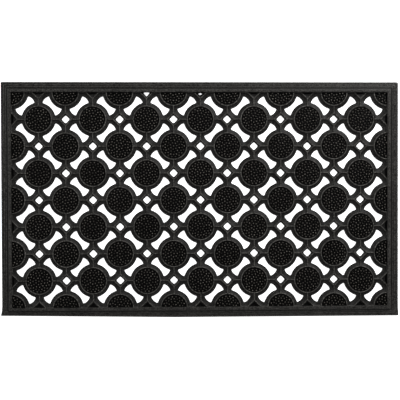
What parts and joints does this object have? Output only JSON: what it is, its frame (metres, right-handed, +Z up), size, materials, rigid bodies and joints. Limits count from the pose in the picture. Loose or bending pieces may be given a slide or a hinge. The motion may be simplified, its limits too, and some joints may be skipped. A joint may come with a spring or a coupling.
{
  "type": "door mat",
  "caption": "Moulded black rubber scraper door mat: pinned round discs joined by diamond links, with open drain gaps inside a ribbed, ramped border.",
  "frame": {"origin": "middle of the flat underside, on the floor", "axes": "+X along the mat's long side, +Y across it towards its back edge, +Z up out of the pinned face"},
  "size_m": [0.75, 0.4454, 0.009],
  "materials": {
    "border_rubber": "moulded black rubber, satin, lightly ribbed",
    "web_rubber": "moulded black rubber, satin",
    "pin_rubber": "moulded black rubber pins, satin tips"
  },
  "bodies": {
    "root": {"border_front": "border_rubber", "border_back": "border_rubber", "border_left": "border_rubber", "border_right": "border_rubber", "disc_row_1": "web_rubber", "pin_row_1": "pin_rubber", "link_row_1": "web_rubber", "disc_row_2": "web_rubber", "pin_row_2": "pin_rubber", "link_row_2": "web_rubber", "disc_row_3": "web_rubber", "pin_row_3": "pin_rubber", "link_row_3": "web_rubber", "disc_row_4": "web_rubber", "pin_row_4": "pin_rubber", "link_row_4": "web_rubber", "disc_row_5": "web_rubber", "pin_row_5": "pin_rubber", "link_row_5": "web_rubber", "disc_row_6": "web_rubber", "pin_row_6": "pin_rubber", "link_row_6": "web_rubber", "disc_row_7": "web_rubber", "pin_row_7": "pin_rubber", "link_row_7": "web_rubber", "disc_row_8": "web_rubber", "pin_row_8": "pin_rubber", "link_row_8": "web_rubber", "disc_row_9": "web_rubber", "pin_row_9": "pin_rubber", "link_row_9": "web_rubber"}
  },
  "joints": []
}
